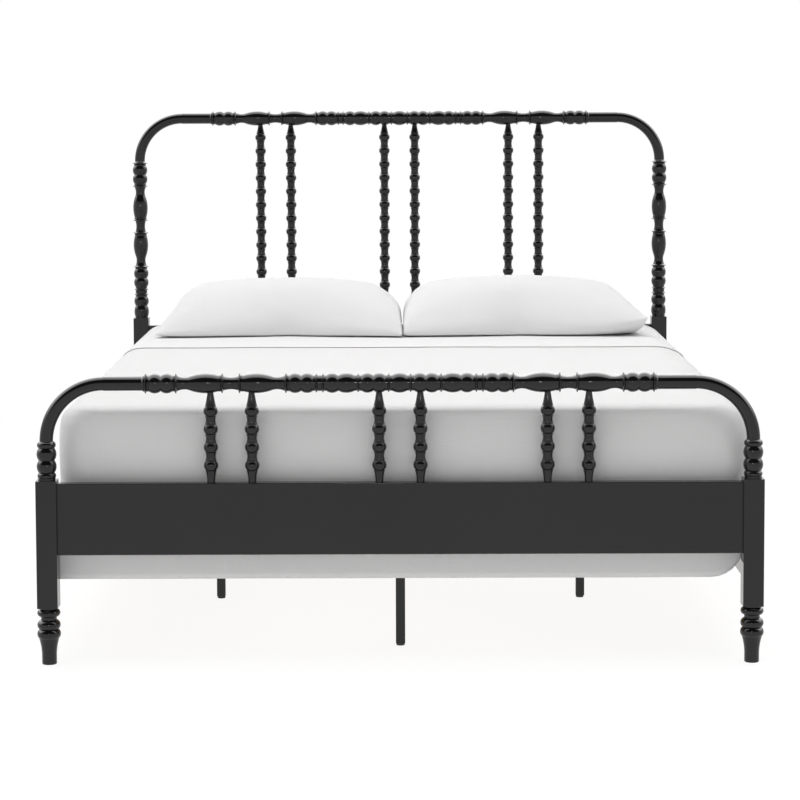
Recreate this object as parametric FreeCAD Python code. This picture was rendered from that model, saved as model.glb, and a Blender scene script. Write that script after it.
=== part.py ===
import FreeCAD, Part
import math
import os

# A spindle bed with its bedding. Millimetres. X runs across the bed, Y along it with the foot at -Y and
# the head at +Y, and Z is up. The origin is on the floor, under the middle of the bed. Left is -X and right
# is +X, as seen from the foot. Every turned piece is a lathe outline: a list of steps, each with its length,
# the radius at its end and, for a bead or a hollow, the radius at its crest.

V = FreeCAD.Vector
X_AXIS, Y_AXIS, Z_AXIS = V(1, 0, 0), V(0, 1, 0), V(0, 0, 1)

# Clearances
FIT = 0.1                   # between a peg or tenon and its hole
RUN = 0.05                  # between a glide's stem and its bush
CLOTH_GAP = 0.3             # between one soft piece and the next
STEM_ROOM = 0.5             # between a glide's stem and the bore above its bush
STEM_ROOM_ABOVE = 2.0       # and over the stem's end
HOOK_ROOM = 0.5             # between a hook and the sides of its slot
OVERCUT = 1.0               # how far a cut runs past the face that it opens
FLAT = 1e-6                 # what counts as no length or no tilt

# Mattress and the room it has in the frame
MATTRESS_WIDTH = 1524.0
MATTRESS_LENGTH = 2032.0
MATTRESS_HEIGHT = 280.0
MATTRESS_CORNER = 60.0      # radius of its upright corners
MATTRESS_EDGE = 25.0        # radius of its top and bottom edges
SIDE_GAP = 27.0             # mattress to side rail
END_GAP = 8.5               # mattress to post

# Boards and posts
POST_WIDTH = 47.0
POST_DEPTH = 48.0
POST_EDGE = 1.5
BOARD_HEIGHT = 164.5
BOARD_THICKNESS = 25.0
BOARD_EDGE = 2.0
FOOT_PANEL_BOTTOM = 252.0
FOOT_BLOCK_ABOVE_PANEL = 6.5
HEAD_PANEL_BOTTOM = 417.5
HEAD_BLOCK_ABOVE_PANEL = 24.0
SIDE_RAIL_BOTTOM = 181.0
PANEL_TENON_LENGTH = 20.0
PANEL_TENON_THICKNESS = 12.0
PANEL_TENON_SHOULDER = 20.0

# Round bars
BAR_RADIUS = 16.2           # of the top rails' ends
CORNER_BAR_RADIUS = 15.4    # of the bent corners, a little thinner
CORNER_RADIUS = 131.0       # centreline radius of the bent corners
CORNER_DOWEL_RADIUS = 6.0
CORNER_DOWEL_LENGTH = 50.0

# Turning: lengths along the axis, and radii
BEAD_LENGTH = 27.0
BEAD_RADIUS = 22.4
GROOVE_RADIUS = 17.9
RIDGED_LENGTH = 15.0        # a plain stretch with a thin ridge in its middle
RIDGE_RADIUS = 21.4
FIN_LENGTH = 5.8
FIN_RADIUS = 22.6
FIN_TIP_LENGTH = 2.8
FIN_TIP_DROP = 1.6
BEAD_SEAT_LENGTH = 4.3      # the low ring between a bead and a fin
BEAD_SEAT_RADIUS = 18.6
COVE_LENGTH = 31.5
COVE_RADIUS = 13.7
COVE_END_RADIUS = 16.9
OVAL_LENGTH = 62.0
OVAL_RADIUS = 22.4
OVAL_SEAT_LENGTH = 5.9      # the low ring between an oval and a fin
OVAL_SEAT_RADIUS = 18.9
OVAL_SHOULDER_RADIUS = 18.2
NECK_LENGTH = 33.2
NECK_RADIUS = 13.5
NECK_END_RADIUS = 16.0
CENTRE_OVAL_LENGTH = 34.6
CENTRE_OVAL_RADIUS = 22.5
MIDDLE_OVAL_LENGTH = 37.6
COLLAR_LENGTH = 2.5
COLLAR_RADIUS = 18.2
COLLAR_SLOPE_LENGTH = 2.6
POST_BEAD_LENGTH = 27.9
POST_BEAD_RADIUS = 22.6
BASE_BEAD_LENGTH = 34.0
POST_TOP_LENGTH = 3.4
RECESS_RADIUS = 19.8        # over a post's square block
HEAD_RECESS_LENGTH = 4.0
FOOT_RECESS_LENGTH = 5.2
FOOT_BEAD_LENGTH = 28.2
FOOT_RING_LENGTH = 11.8
FOOT_TOP_RING_LENGTH = 15.2
FOOT_RING_RADIUS = 21.3

# Turned feet, from the floor up
TOE_RADIUS = 16.0           # of the flat face on the floor
TOE_EDGE_LENGTH = 1.5
TOE_LENGTH = 21.5
ANKLE_RADIUS = 17.0
CALF_LENGTH = 37.0
CALF_RADIUS = 18.8
CALF_TOP_RADIUS = 23.2
LOW_RING_LENGTH = 20.5
LOW_RING_RADIUS = 26.8
LOW_RING_TOP_RADIUS = 21.8
MIDDLE_RING_LENGTH = 21.5
MIDDLE_RING_RADIUS = 26.5
MIDDLE_RING_TOP_RADIUS = 18.8
WAIST_LENGTH = 7.5
WAIST_RADIUS = 17.9
WAIST_TOP_RADIUS = 18.5
TOP_RING_LENGTH = 17.5
TOP_RING_RADIUS = 26.4
FOOT_GROOVE_LENGTH = 4.0

# Spindles
PAIR_SPACING = 93.3
SPINDLE_BEAD_LENGTH = 21.0
SPINDLE_BEAD_RADIUS = 16.4
SPINDLE_GROOVE_RADIUS = 11.8
SPINDLE_RING_LENGTH = 3.8   # each side of a bead
SPINDLE_RING_RADIUS = 12.6
SPINDLE_NECK_LENGTH = 12.9
SPINDLE_NECK_RADIUS = 11.0
SPINDLE_TOP_RADIUS = 7.1
SPINDLE_TOP_BOW = 0.4       # how far the top taper is hollowed
SPINDLE_BASE_RADIUS = 9.0
SPINDLE_BASE_BOW = 0.7
SPINDLE_LEAST_TAPER = 15.0  # at the base, where the beads leave what is over
FOOT_SPINDLE_TAPER = 26.0   # at the top
HEAD_SPINDLE_TAPER = 22.0
SPINDLE_PEG_RADIUS = 7.0
SPINDLE_PEG_LENGTH = 18.0

# Cleats, slats and support legs
CLEAT_WIDTH = 28.0
CLEAT_HEIGHT = 32.0
CLEAT_ABOVE_RAIL_BOTTOM = 63.0
CLEAT_END_GAP = 14.0
SLAT_WIDTH = 75.0
SLAT_THICKNESS = 20.0
SLAT_EDGE = 2.0
SLAT_END_GAP = 2.0
CENTRE_LEG_SETBACK = 207.0  # from the outer face of the nearer posts
PAIR_LEG_SETBACK = 765.0
PAIR_LEG_OFFSET = 462.0     # from the centre line
PLAIN_SLATS_PER_BAY = 3     # between one support slat and the next
LEG_WIDTH = 22.0
GLIDE_PAD_RADIUS = 10.0
GLIDE_PAD_HEIGHT = 6.0
GLIDE_PAD_EDGE = 1.5
GLIDE_STEM_RADIUS = 4.0
GLIDE_STEM_LENGTH = 30.0
BUSH_RADIUS = 6.5
BUSH_LENGTH = 16.0

# Fasteners
BOLT_RADIUS = 4.0
BOLT_LENGTH = 60.0
BOLT_HEAD_RADIUS = 7.5
BOLT_HEAD_LENGTH = 4.0
SCREW_RADIUS = 2.0
SCREW_HEAD_RADIUS = 4.0
SCREW_HEAD_LENGTH = 2.2
PLATE_SCREW_LENGTH = 28.0
CLEAT_SCREW_LENGTH = 40.0
SLAT_SCREW_LENGTH = 34.0
CLEAT_SCREWS = 7
CLEAT_SCREW_LIFT = 9.0      # above the cleat's underside, clear of the slat screws

# Steel plates that hook the side rails to the posts
PLATE_WIDTH = 16.0
PLATE_HEIGHT = 140.0
PLATE_THICKNESS = 2.5
HOOK_THICKNESS = 4.0
HOOK_NECK_HEIGHT = 18.0
HOOK_LIP_DROP = 9.0         # of a hook's lip, below the plate's slot
HOOK_LIP_DEPTH = 4.0
SLOT_HEIGHT = 32.0
SLOT_SPACING = 64.0
PLATE_SCREW_INSET = 6.5     # from the plate's end
POCKET_DEPTH = 12.0
POCKET_MARGIN = 3.0

# Bedding
COVERLET_TOP = 8.0          # thickness over the mattress
COVERLET_FRONT = 7.2        # from the mattress to the outer face of the foot drop
COVERLET_HEAD = 3.0         # past the head end of the mattress
DROP_THICKNESS = 5.0
DROP_SIDE_GAP = 4.0         # from the side rail
DROP_BELOW_PANEL = 62.0     # how far the hem hangs under the foot panel
DROP_CORNER = 75.0          # radius of the hem's right corner
DROP_OVERLAP = 60.0         # how far the drop runs up behind the tuck's lower edge
TUCK_RISE = 10.0            # from the slats up to the tuck's lower edge
TUCK_CLEARANCE = 6.0        # from the side rail
BULGE_LEFT = 23.0           # widest point beyond the mattress
BULGE_RIGHT = 46.0
BULGE_DROP = 90.0           # from the mattress's top down to the widest point
BULGE_KEPT = 0.667          # share of the bulge that is left at the shoulder
SHOULDER_INSET = 4.0        # of the shoulder's middle, from the mattress's side
SHOULDER_RISE = 0.75        # height of the shoulder's middle, as a share of the shoulder
COVERLET_EDGE = 24.0        # radius of the rounded top edge at the foot
COVERLET_CORNER = 70.0      # radius of the upright corners at the foot
SHEET_THICKNESS = 4.5
SHEET_TURNED = 697.5        # from the head end of the mattress to the turned hem
SHEET_DROP = 150.0          # from the mattress's top down to the sheet's side hems
PILLOW_LENGTH = 722.0
PILLOW_DEPTH = 436.0
PILLOW_HEIGHT = 156.0
PILLOW_EDGE = 13.0          # from its flat underside out to the front and back edges
PILLOW_EDGE_HEIGHT = 9.8    # height of the edge's outermost line
PILLOW_CROWN_START = 22.0   # height where the crown leaves the edge
PILLOW_CROWN_INSET = 5.2
PILLOW_CROWN_POWER = 2.8    # the higher, the later its crown falls away towards the ends
PILLOW_STATIONS = (0.0, 0.3, 0.6, 0.86, 1.0)    # shares of its half length
PILLOW_END_HEIGHT = 34.0
PILLOW_SIDE_DRAW = 16.0     # how far each long side is drawn in
PILLOW_END_DRAW = 15.0
PILLOW_SETBACK = 8.0        # from the head end of the mattress
PILLOW_GAP = 5.0
PILLOW_PAIR_CENTRE = 6.5    # the pair lies a little to the right

# Places worked out from the sizes above
RAIL_INNER = MATTRESS_WIDTH / 2 + SIDE_GAP
POST_X = RAIL_INNER + BOARD_THICKNESS / 2
POST_INNER_Y = MATTRESS_LENGTH / 2 + END_GAP
POST_Y = POST_INNER_Y + POST_DEPTH / 2
POST_OUTER_Y = POST_INNER_Y + POST_DEPTH
POST_INNER_X = POST_X - POST_WIDTH / 2
FOOT_PANEL_TOP = FOOT_PANEL_BOTTOM + BOARD_HEIGHT
HEAD_PANEL_TOP = HEAD_PANEL_BOTTOM + BOARD_HEIGHT
CLEAT_BOTTOM = SIDE_RAIL_BOTTOM + CLEAT_ABOVE_RAIL_BOTTOM
SLAT_BOTTOM = CLEAT_BOTTOM + CLEAT_HEIGHT
SLAT_TOP = SLAT_BOTTOM + SLAT_THICKNESS
MATTRESS_TOP = SLAT_TOP + MATTRESS_HEIGHT
COVERLET_Z = MATTRESS_TOP + COVERLET_TOP
SHEET_Z = COVERLET_Z + SHEET_THICKNESS
TUCK_BOTTOM = SLAT_TOP + TUCK_RISE
DROP_HEM = FOOT_PANEL_BOTTOM - DROP_BELOW_PANEL
SPINDLE_PITCH = SPINDLE_BEAD_LENGTH + SPINDLE_NECK_LENGTH + 2 * SPINDLE_RING_LENGTH
PLATE_CENTRE_Z = SIDE_RAIL_BOTTOM + BOARD_HEIGHT / 2

os.makedirs("parts", exist_ok=True)


def save(name, shape):
    shape.exportStep(f"parts/{name}.step")


def group(shapes):
    return Part.makeCompound(shapes)


def box(x0, x1, y0, y1, z0, z1):
    return Part.makeBox(x1 - x0, y1 - y0, z1 - z0, V(x0, y0, z0))


def edges_along(shape, direction):
    """The straight edges of a box that run along one axis."""
    return [e for e in shape.Edges if abs(abs(e.tangentAt(0).dot(direction)) - 1) < FLAT]


def rounded_along(shape, direction, radius):
    return shape.makeFillet(radius, edges_along(shape, direction))


def arc(a, b, c):
    return Part.Arc(a, b, c).toShape()


def across_x(shape):
    return shape.mirror(V(0, 0, 0), X_AXIS)


def across_y(shape):
    return shape.mirror(V(0, 0, 0), Y_AXIS)


# ---------------------------------------------------------------- turning

def step(length, end_radius, crest_radius=None, crest_share=0.5):
    return (length, end_radius, crest_radius, crest_share)


def fin_to(end_radius, radius=FIN_RADIUS):
    """A thin ring with a rounded tip."""
    side = (FIN_LENGTH - FIN_TIP_LENGTH) / 2
    shoulder = radius - FIN_TIP_DROP
    return [step(side, shoulder), step(FIN_TIP_LENGTH, shoulder, radius), step(side, end_radius)]


def beads(count, length=BEAD_LENGTH, radius=BEAD_RADIUS):
    return [step(length, GROOVE_RADIUS, radius)] * count


def ridged(count):
    """Plain stretches, each with a thin ridge in its middle."""
    land = [step((RIDGED_LENGTH - FIN_LENGTH) / 2, GROOVE_RADIUS)]
    return (land + fin_to(GROOVE_RADIUS, RIDGE_RADIUS) + land) * count


def bead_seat():
    return [step(BEAD_SEAT_LENGTH, GROOVE_RADIUS, BEAD_SEAT_RADIUS)]


def oval_seat(end_radius):
    return [step(OVAL_SEAT_LENGTH, end_radius, OVAL_SEAT_RADIUS)]


def run_to_neck(bead_length):
    """Two beads, a fin, a cove and a long oval, up to the neck."""
    return (
        beads(2, bead_length) + bead_seat() + fin_to(GROOVE_RADIUS)
        + [step(COVE_LENGTH, COVE_END_RADIUS, COVE_RADIUS, 0.54),
           step(OVAL_LENGTH, OVAL_SHOULDER_RADIUS, OVAL_RADIUS)]
        + oval_seat(OVAL_SHOULDER_RADIUS) + fin_to(NECK_END_RADIUS)
    )


def run_from_neck(bead_length):
    """The same pieces the other way round, and a last fin."""
    return (
        fin_to(OVAL_SHOULDER_RADIUS) + oval_seat(OVAL_SHOULDER_RADIUS)
        + [step(OVAL_LENGTH, COVE_END_RADIUS, OVAL_RADIUS),
           step(COVE_LENGTH, GROOVE_RADIUS, COVE_RADIUS, 0.46)]
        + fin_to(GROOVE_RADIUS) + bead_seat() + beads(2, bead_length) + bead_seat() + fin_to(COLLAR_RADIUS)
    )


def oval_run(bead_length=BEAD_LENGTH):
    neck = [step(NECK_LENGTH, NECK_END_RADIUS, NECK_RADIUS)]
    return run_to_neck(bead_length) + neck + run_from_neck(bead_length)


def half_oval(length, end_radius, crest_radius):
    """The second half of an oval, from its crest to its end. The arc's own middle is worked out."""
    half, drop = length / 2, crest_radius - end_radius
    bow = (half ** 2 + drop ** 2) / (2 * drop)
    middle = crest_radius - bow + math.sqrt(bow ** 2 - (half / 2) ** 2)
    return [step(half, end_radius, middle)]


def length_of(steps):
    return sum(s[0] for s in steps)


def outline(start, start_radius, steps):
    """Turns steps into edges in the XZ plane, with radius along X and the axis along Z."""
    edges, z, radius = [], start, start_radius
    for length, end_radius, crest_radius, crest_share in steps:
        a, b = V(radius, 0, z), V(end_radius, 0, z + length)
        if crest_radius is None:
            if a.distanceToPoint(b) > FLAT:
                edges.append(Part.makeLine(a, b))
        else:
            crest = V(crest_radius, 0, z + length * crest_share)
            edges.append(arc(a, crest, b))
        z, radius = z + length, end_radius
    return edges


def lathe(edges):
    """A solid of revolution about Z from outline edges that run upwards."""
    low, high = edges[0].Vertexes[0].Point, edges[-1].Vertexes[-1].Point
    foot = Part.makeLine(V(0, 0, low.z), low)
    top = Part.makeLine(high, V(0, 0, high.z))
    axis = Part.makeLine(V(0, 0, high.z), V(0, 0, low.z))
    face = Part.Face(Part.Wire([foot] + edges + [top, axis]))
    return face.revolve(V(0, 0, 0), Z_AXIS, 360)


# ---------------------------------------------------------------- top rails, corners and posts

def middle_run():
    """From the middle of the rail to where its oval run starts."""
    return (
        half_oval(CENTRE_OVAL_LENGTH, GROOVE_RADIUS, CENTRE_OVAL_RADIUS)
        + ridged(1) + beads(2) + ridged(1)
        + [step(MIDDLE_OVAL_LENGTH, GROOVE_RADIUS, OVAL_RADIUS)]
        + beads(1) + ridged(2)
    )


NECK_CENTRE = length_of(middle_run() + run_to_neck(BEAD_LENGTH)) + NECK_LENGTH / 2
SPINDLE_XS = [s * (c + h * PAIR_SPACING / 2) for s, c, h in
              ((-1, NECK_CENTRE, 1), (-1, NECK_CENTRE, -1), (-1, 0, 1), (1, 0, 1),
               (1, NECK_CENTRE, -1), (1, NECK_CENTRE, 1))]
RAIL_HALF = POST_X - CORNER_RADIUS


def rail_half_steps():
    collar = [step(COLLAR_LENGTH, COLLAR_RADIUS), step(COLLAR_SLOPE_LENGTH, BAR_RADIUS)]
    turned = middle_run() + oval_run() + collar
    return turned + [step(RAIL_HALF - length_of(turned), BAR_RADIUS)]


def top_rail(y, z):
    """A turned rail along X. Its two halves mirror each other about the middle of its centre oval."""
    upper = lathe(outline(0, CENTRE_OVAL_RADIUS, rail_half_steps()))
    rail = upper.fuse(upper.mirror(V(0, 0, 0), Z_AXIS)).removeSplitter()
    rail.rotate(V(0, 0, 0), Y_AXIS, 90)
    rail.translate(V(0, y, z))
    underside = z - OVAL_RADIUS
    holes = [peg_hole(x, y, underside - OVERCUT, underside + SPINDLE_PEG_LENGTH + FIT) for x in SPINDLE_XS]
    for side in (-1, 1):
        depth = CORNER_DOWEL_LENGTH / 2 + FIT
        holes.append(Part.makeCylinder(CORNER_DOWEL_RADIUS + FIT, depth, V(side * RAIL_HALF, y, z),
                                       V(-side, 0, 0)))
    return rail.cut(group(holes))


def peg_hole(x, y, bottom, top):
    """The hole for a spindle's peg."""
    return Part.makeCylinder(SPINDLE_PEG_RADIUS + FIT, top - bottom, V(x, y, bottom))


def corner_piece(y, z):
    """The right corner: a round bar bent through a quarter circle from the post up to the rail."""
    centre = V(RAIL_HALF, y, z - CORNER_RADIUS)
    ring = Part.Wire(Part.makeCircle(CORNER_BAR_RADIUS, centre + V(CORNER_RADIUS, 0, 0), Z_AXIS))
    bar = Part.Face(ring).revolve(centre, Y_AXIS, -90)
    depth = CORNER_DOWEL_LENGTH / 2 + FIT
    at_post = Part.makeCylinder(CORNER_DOWEL_RADIUS + FIT, depth, centre + V(CORNER_RADIUS, 0, 0), Z_AXIS)
    at_rail = Part.makeCylinder(CORNER_DOWEL_RADIUS + FIT, depth, V(RAIL_HALF, y, z), X_AXIS)
    return bar.cut(group([at_post, at_rail]))


def corner_dowels(y, z):
    """The two dowels of a right corner."""
    half = CORNER_DOWEL_LENGTH / 2
    at_post = Part.makeCylinder(CORNER_DOWEL_RADIUS, 2 * half, V(POST_X, y, z - CORNER_RADIUS - half))
    at_rail = Part.makeCylinder(CORNER_DOWEL_RADIUS, 2 * half, V(RAIL_HALF - half, y, z), X_AXIS)
    return [at_post, at_rail]


TURNED_FOOT = [
    step(TOE_EDGE_LENGTH, ANKLE_RADIUS),
    step(TOE_LENGTH, ANKLE_RADIUS),
    step(CALF_LENGTH, CALF_TOP_RADIUS, CALF_RADIUS),
    step(LOW_RING_LENGTH, LOW_RING_TOP_RADIUS, LOW_RING_RADIUS, 0.6),
    step(MIDDLE_RING_LENGTH, MIDDLE_RING_TOP_RADIUS, MIDDLE_RING_RADIUS, 0.4),
    step(WAIST_LENGTH, WAIST_TOP_RADIUS, WAIST_RADIUS),
    step(TOP_RING_LENGTH, GROOVE_RADIUS, TOP_RING_RADIUS),
    step(FOOT_GROOVE_LENGTH, GROOVE_RADIUS),
]
FOOT_NECK = (
    [step(FOOT_RECESS_LENGTH, RECESS_RADIUS), step(FOOT_RING_LENGTH, GROOVE_RADIUS, FOOT_RING_RADIUS, 0.37)]
    + beads(2, FOOT_BEAD_LENGTH, POST_BEAD_RADIUS)
    + [step(FOOT_TOP_RING_LENGTH, CORNER_BAR_RADIUS, FOOT_RING_RADIUS, 0.38)]
)
HEAD_NECK = (
    [step(HEAD_RECESS_LENGTH, RECESS_RADIUS)] + beads(1, BASE_BEAD_LENGTH, POST_BEAD_RADIUS)
    + beads(1, POST_BEAD_LENGTH) + ridged(2) + oval_run(POST_BEAD_LENGTH)
    + [step(POST_TOP_LENGTH, CORNER_BAR_RADIUS)]
)
BLOCK_BOTTOM = length_of(TURNED_FOOT)
FOOT_BLOCK_TOP = FOOT_PANEL_TOP + FOOT_BLOCK_ABOVE_PANEL
HEAD_BLOCK_TOP = HEAD_PANEL_TOP + HEAD_BLOCK_ABOVE_PANEL
FOOT_RAIL_Z = FOOT_BLOCK_TOP + length_of(FOOT_NECK) + CORNER_RADIUS
HEAD_RAIL_Z = HEAD_BLOCK_TOP + length_of(HEAD_NECK) + CORNER_RADIUS


def post(neck, block_top, panel_bottom):
    """The right post of the foot end. The head end's is this one mirrored, with a longer neck."""
    half_w, half_d = POST_WIDTH / 2, POST_DEPTH / 2
    block = rounded_along(box(-half_w, half_w, -half_d, half_d, BLOCK_BOTTOM, block_top), Z_AXIS, POST_EDGE)
    foot = lathe(outline(0, TOE_RADIUS, TURNED_FOOT))
    body = block.fuse([foot, lathe(outline(block_top, RECESS_RADIUS, neck))])
    body.translate(V(POST_X, -POST_Y, 0))
    top = block_top + length_of(neck)
    depth = CORNER_DOWEL_LENGTH / 2 + FIT
    dowel_hole = Part.makeCylinder(CORNER_DOWEL_RADIUS + FIT, depth, V(POST_X, -POST_Y, top), V(0, 0, -1))
    tenon_hole = box(
        POST_INNER_X - OVERCUT, POST_INNER_X + PANEL_TENON_LENGTH + FIT,
        -POST_Y - PANEL_TENON_THICKNESS / 2 - FIT, -POST_Y + PANEL_TENON_THICKNESS / 2 + FIT,
        panel_bottom + PANEL_TENON_SHOULDER - FIT, panel_bottom + BOARD_HEIGHT - PANEL_TENON_SHOULDER + FIT,
    )
    return body.cut(group([dowel_hole, tenon_hole] + slot_plate_room()))


def panel(bottom):
    """A board across the foot or head, with a tenon at each end and holes for the spindles' pegs."""
    half_t = BOARD_THICKNESS / 2
    top = bottom + BOARD_HEIGHT
    board = box(-POST_INNER_X, POST_INNER_X, -POST_Y - half_t, -POST_Y + half_t, bottom, top)
    board = rounded_along(board, X_AXIS, BOARD_EDGE)
    reach = POST_INNER_X + PANEL_TENON_LENGTH
    tenons = box(
        -reach, reach, -POST_Y - PANEL_TENON_THICKNESS / 2, -POST_Y + PANEL_TENON_THICKNESS / 2,
        bottom + PANEL_TENON_SHOULDER, top - PANEL_TENON_SHOULDER,
    )
    holes = [peg_hole(x, -POST_Y, top - SPINDLE_PEG_LENGTH - FIT, top + OVERCUT) for x in SPINDLE_XS]
    return board.fuse(tenons).cut(group(holes))


def hollow(length, start_radius, end_radius, bow):
    """A taper that is hollowed in its middle."""
    return step(length, end_radius, (start_radius + end_radius) / 2 - bow)


def spindle(x, panel_top, rail_z, top_taper):
    """A beaded spindle from a panel up to a top rail, with a peg at each end."""
    span = rail_z - OVAL_RADIUS - panel_top
    count = int((span - top_taper - SPINDLE_LEAST_TAPER + SPINDLE_NECK_LENGTH) / SPINDLE_PITCH)
    bead = step(SPINDLE_BEAD_LENGTH, SPINDLE_GROOVE_RADIUS, SPINDLE_BEAD_RADIUS)
    ring = step(SPINDLE_RING_LENGTH, SPINDLE_GROOVE_RADIUS, SPINDLE_RING_RADIUS)
    neck = step(SPINDLE_NECK_LENGTH, SPINDLE_GROOVE_RADIUS, SPINDLE_NECK_RADIUS)
    beaded = ([ring, bead, ring, neck] * count)[:-1]
    base_taper = span - top_taper - length_of(beaded)
    peg = step(SPINDLE_PEG_LENGTH, SPINDLE_PEG_RADIUS)
    steps = [peg, step(0, SPINDLE_BASE_RADIUS)]
    steps += [hollow(base_taper, SPINDLE_BASE_RADIUS, SPINDLE_GROOVE_RADIUS, SPINDLE_BASE_BOW)] + beaded
    steps += [hollow(top_taper, SPINDLE_GROOVE_RADIUS, SPINDLE_TOP_RADIUS, SPINDLE_TOP_BOW)]
    steps += [step(0, SPINDLE_PEG_RADIUS), peg]
    solid = lathe(outline(panel_top - SPINDLE_PEG_LENGTH, SPINDLE_PEG_RADIUS, steps))
    solid.translate(V(x, -POST_Y, 0))
    return solid


# ---------------------------------------------------------------- fasteners

def headed(radius, length, head_radius, head_length, slack=0.0):
    """A countersunk screw or bolt that points down from a head flush with z = 0, or the room for it."""
    shank = Part.makeCylinder(radius + slack, length + slack, V(0, 0, -length - slack))
    head = Part.makeCone(radius + slack, head_radius + slack, head_length, V(0, 0, -head_length))
    return shank.fuse(head)


def placed(shape, point, direction):
    """Turns a fastener that points down so that it points along direction, with its head at point."""
    copy = shape.copy()
    copy.Placement = FreeCAD.Placement(point, FreeCAD.Rotation(V(0, 0, -1), direction))
    return copy


def screw(length, slack=0.0):
    return headed(SCREW_RADIUS, length, SCREW_HEAD_RADIUS, SCREW_HEAD_LENGTH, slack)


def bolt(slack=0.0):
    return headed(BOLT_RADIUS, BOLT_LENGTH, BOLT_HEAD_RADIUS, BOLT_HEAD_LENGTH, slack)


# ---------------------------------------------------------------- hooked plates, at the right foot corner

SLOT_ZS = [PLATE_CENTRE_Z - SLOT_SPACING / 2, PLATE_CENTRE_Z + SLOT_SPACING / 2]
PLATE_SCREW_ZS = [PLATE_CENTRE_Z - PLATE_HEIGHT / 2 + PLATE_SCREW_INSET, PLATE_CENTRE_Z - HOOK_LIP_DROP / 2,
                  PLATE_CENTRE_Z + PLATE_HEIGHT / 2 - PLATE_SCREW_INSET]
PLATE_Y = -POST_INNER_Y


def plate(y0, y1, slack=0.0):
    half = PLATE_WIDTH / 2 + slack
    return box(POST_X - half, POST_X + half, y0, y1,
               PLATE_CENTRE_Z - PLATE_HEIGHT / 2 - slack, PLATE_CENTRE_Z + PLATE_HEIGHT / 2 + slack)


def plate_screws(into_post, slack=0.0):
    direction = V(0, -1, 0) if into_post else V(0, 1, 0)
    return [placed(screw(PLATE_SCREW_LENGTH, slack), V(POST_X, PLATE_Y, z), direction)
            for z in PLATE_SCREW_ZS]


def slot_plate_room():
    """What is cut from a post for its slotted plate, the hooks behind it and its screws."""
    half = HOOK_THICKNESS / 2 + POCKET_MARGIN
    rooms = [plate(PLATE_Y - PLATE_THICKNESS, PLATE_Y + OVERCUT, FIT)] + plate_screws(True, FIT)
    for z in SLOT_ZS:
        low = z - SLOT_HEIGHT / 2 - HOOK_LIP_DROP - POCKET_MARGIN
        rooms.append(box(POST_X - half, POST_X + half, PLATE_Y - PLATE_THICKNESS - POCKET_DEPTH, PLATE_Y,
                         low, z + SLOT_HEIGHT / 2))
    return rooms


def slotted_plate():
    half = HOOK_THICKNESS / 2 + HOOK_ROOM
    cuts = [box(POST_X - half, POST_X + half, PLATE_Y - PLATE_THICKNESS - OVERCUT, PLATE_Y + OVERCUT,
                z - SLOT_HEIGHT / 2, z + SLOT_HEIGHT / 2) for z in SLOT_ZS]
    return plate(PLATE_Y - PLATE_THICKNESS, PLATE_Y).cut(group(cuts + plate_screws(True, FIT)))


def hooked_plate():
    """Let into the end of a side rail. Its hooks drop behind the slotted plate."""
    half = HOOK_THICKNESS / 2
    body = plate(PLATE_Y, PLATE_Y + PLATE_THICKNESS)
    behind = PLATE_Y - PLATE_THICKNESS - 2 * FIT
    for z in SLOT_ZS:
        rest = z - SLOT_HEIGHT / 2
        neck = box(POST_X - half, POST_X + half, behind, PLATE_Y + PLATE_THICKNESS / 2,
                   rest, rest + HOOK_NECK_HEIGHT)
        lip = box(POST_X - half, POST_X + half, behind - HOOK_LIP_DEPTH, behind,
                  rest - HOOK_LIP_DROP, rest + HOOK_NECK_HEIGHT)
        body = body.fuse([neck, lip])
    return body.removeSplitter().cut(group(plate_screws(False, FIT)))


# ---------------------------------------------------------------- side rails, cleats, slats, legs

CLEAT_INNER = RAIL_INNER - CLEAT_WIDTH
CLEAT_HALF = POST_INNER_Y - CLEAT_END_GAP
SLAT_HALF = RAIL_INNER - SLAT_END_GAP
SUPPORT_YS = [-(POST_OUTER_Y - CENTRE_LEG_SETBACK), -(POST_OUTER_Y - PAIR_LEG_SETBACK),
              POST_OUTER_Y - PAIR_LEG_SETBACK, POST_OUTER_Y - CENTRE_LEG_SETBACK]
LEG_XS = [[0.0], [-PAIR_LEG_OFFSET, PAIR_LEG_OFFSET], [-PAIR_LEG_OFFSET, PAIR_LEG_OFFSET], [0.0]]


def plain_slat_ys():
    ys = []
    for a, b in zip(SUPPORT_YS, SUPPORT_YS[1:]):
        pitch = (b - a) / (PLAIN_SLATS_PER_BAY + 1)
        ys += [a + pitch * (i + 1) for i in range(PLAIN_SLATS_PER_BAY)]
    return ys


def cleat_screws(slack=0.0):
    """Through the right cleat into its side rail."""
    pitch = 2 * CLEAT_HALF / CLEAT_SCREWS
    z = CLEAT_BOTTOM + CLEAT_SCREW_LIFT
    ys = [-CLEAT_HALF + pitch * (i + 0.5) for i in range(CLEAT_SCREWS)]
    return [placed(screw(CLEAT_SCREW_LENGTH, slack), V(CLEAT_INNER, y, z), X_AXIS) for y in ys]


def slat_screws(slack=0.0):
    """Down through the right ends of the slats into the cleat."""
    x = CLEAT_INNER + CLEAT_WIDTH / 2
    return [placed(screw(SLAT_SCREW_LENGTH, slack), V(x, y, SLAT_TOP), V(0, 0, -1))
            for y in SUPPORT_YS + plain_slat_ys()]


def side_rail():
    rail = box(RAIL_INNER, RAIL_INNER + BOARD_THICKNESS, -POST_INNER_Y, POST_INNER_Y,
               SIDE_RAIL_BOTTOM, SIDE_RAIL_BOTTOM + BOARD_HEIGHT)
    rail = rounded_along(rail, Y_AXIS, BOARD_EDGE)
    room = [plate(PLATE_Y - OVERCUT, PLATE_Y + PLATE_THICKNESS, FIT)] + plate_screws(False, FIT)
    return rail.cut(group(room + [across_y(r) for r in room] + cleat_screws(FIT)))


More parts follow.
